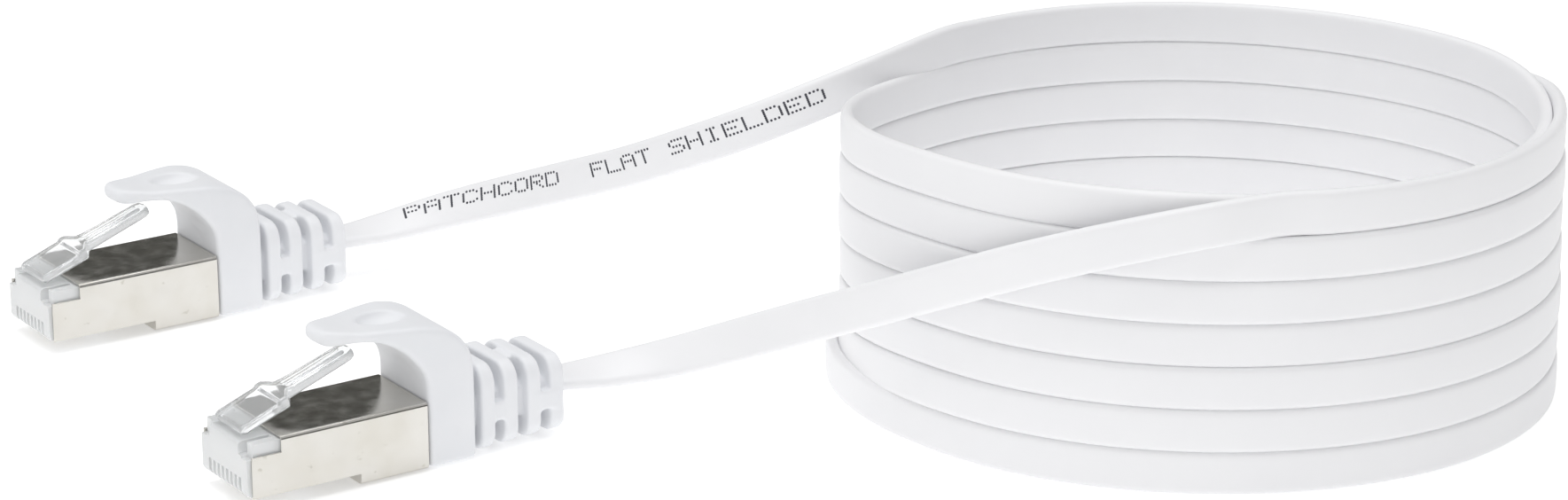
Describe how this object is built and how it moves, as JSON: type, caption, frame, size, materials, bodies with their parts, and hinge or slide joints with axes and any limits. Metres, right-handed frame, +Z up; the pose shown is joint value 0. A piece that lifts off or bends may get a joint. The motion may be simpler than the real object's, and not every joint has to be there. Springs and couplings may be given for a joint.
{
  "type": "ethernet patch cable",
  "caption": "Flat white network patch cable wound into an oval coil, with a shielded modular plug, press-down latch and ribbed boot on each end.",
  "frame": {"origin": "bottom centre of the box around the two plugs, on the surface they lie on", "axes": "+X from the plugs' noses back towards the cable, +Y from the near plug to the far plug, +Z up"},
  "size_m": [0.1563, 0.1364, 0.0361],
  "materials": {
    "clear_plastic": "clear polycarbonate, glossy, slightly milky",
    "wire_guide_plastic": "natural plastic, satin",
    "nickel_shield": "nickel plated sheet, fine brushed, semi-bright",
    "gold_contact": "gold plated, bright",
    "boot_plastic": "soft white moulding, satin",
    "cable_jacket": "white flat jacket, satin",
    "conductor_white": "white insulation",
    "conductor_orange": "orange insulation",
    "conductor_blue": "blue insulation",
    "conductor_green": "green insulation",
    "conductor_brown": "brown insulation"
  },
  "bodies": {
    "root": {"cable_coil": "cable_jacket", "cable_lead_a": "cable_jacket", "cable_lead_b": "cable_jacket", "plug_a_housing": "clear_plastic", "plug_a_wire_guide": "wire_guide_plastic", "plug_a_contact_1": "gold_contact", "plug_a_contact_2": "gold_contact", "plug_a_contact_3": "gold_contact", "plug_a_contact_4": "gold_contact", "plug_a_contact_5": "gold_contact", "plug_a_contact_6": "gold_contact", "plug_a_contact_7": "gold_contact", "plug_a_contact_8": "gold_contact", "plug_a_conductor_1": "conductor_white", "plug_a_conductor_2": "conductor_orange", "plug_a_conductor_3": "conductor_white", "plug_a_conductor_4": "conductor_blue", "plug_a_conductor_5": "conductor_white", "plug_a_conductor_6": "conductor_green", "plug_a_conductor_7": "conductor_white", "plug_a_conductor_8": "conductor_brown", "plug_a_shield": "nickel_shield", "plug_a_boot": "boot_plastic", "plug_b_housing": "clear_plastic", "plug_b_wire_guide": "wire_guide_plastic", "plug_b_contact_1": "gold_contact", "plug_b_contact_2": "gold_contact", "plug_b_contact_3": "gold_contact", "plug_b_contact_4": "gold_contact", "plug_b_contact_5": "gold_contact", "plug_b_contact_6": "gold_contact", "plug_b_contact_7": "gold_contact", "plug_b_contact_8": "gold_contact", "plug_b_conductor_1": "conductor_white", "plug_b_conductor_2": "conductor_orange", "plug_b_conductor_3": "conductor_white", "plug_b_conductor_4": "conductor_blue", "plug_b_conductor_5": "conductor_white", "plug_b_conductor_6": "conductor_green", "plug_b_conductor_7": "conductor_white", "plug_b_conductor_8": "conductor_brown", "plug_b_shield": "nickel_shield", "plug_b_boot": "boot_plastic"},
    "hood_a": {"plug_a_hood": "boot_plastic"},
    "latch_a": {"plug_a_latch": "clear_plastic"},
    "hood_b": {"plug_b_hood": "boot_plastic"},
    "latch_b": {"plug_b_latch": "clear_plastic"}
  },
  "joints": [
    {"name": "hood_a_press", "type": "hinge", "parent": "root", "child": "hood_a", "pos_m": [0.00928, 0.0295, 0.01195], "axis": [0, -1, 0], "range_deg": [0, 16], "stiffness_Nm_per_rad": 0.02, "springref_deg": -2.86},
    {"name": "latch_a_press", "type": "hinge", "parent": "root", "child": "latch_a", "pos_m": [-0.01776, 0.0295, 0.00865], "axis": [0, 1, 0], "range_deg": [0, 12], "stiffness_Nm_per_rad": 0.001, "springref_deg": -2.86},
    {"name": "hood_b_press", "type": "hinge", "parent": "root", "child": "hood_b", "pos_m": [0.00539, -0.0295, 0.01195], "axis": [0, -1, 0], "range_deg": [0, 16], "stiffness_Nm_per_rad": 0.02, "springref_deg": -2.86},
    {"name": "latch_b_press", "type": "hinge", "parent": "root", "child": "latch_b", "pos_m": [-0.02167, -0.0295, 0.00865], "axis": [0, 1, 0], "range_deg": [0, 12], "stiffness_Nm_per_rad": 0.001, "springref_deg": -2.86}
  ],
  "couplings": [
    {"joint": "latch_a_press", "follows": "hood_a_press", "ratio": 0.75},
    {"joint": "latch_b_press", "follows": "hood_b_press", "ratio": 0.75}
  ]
}
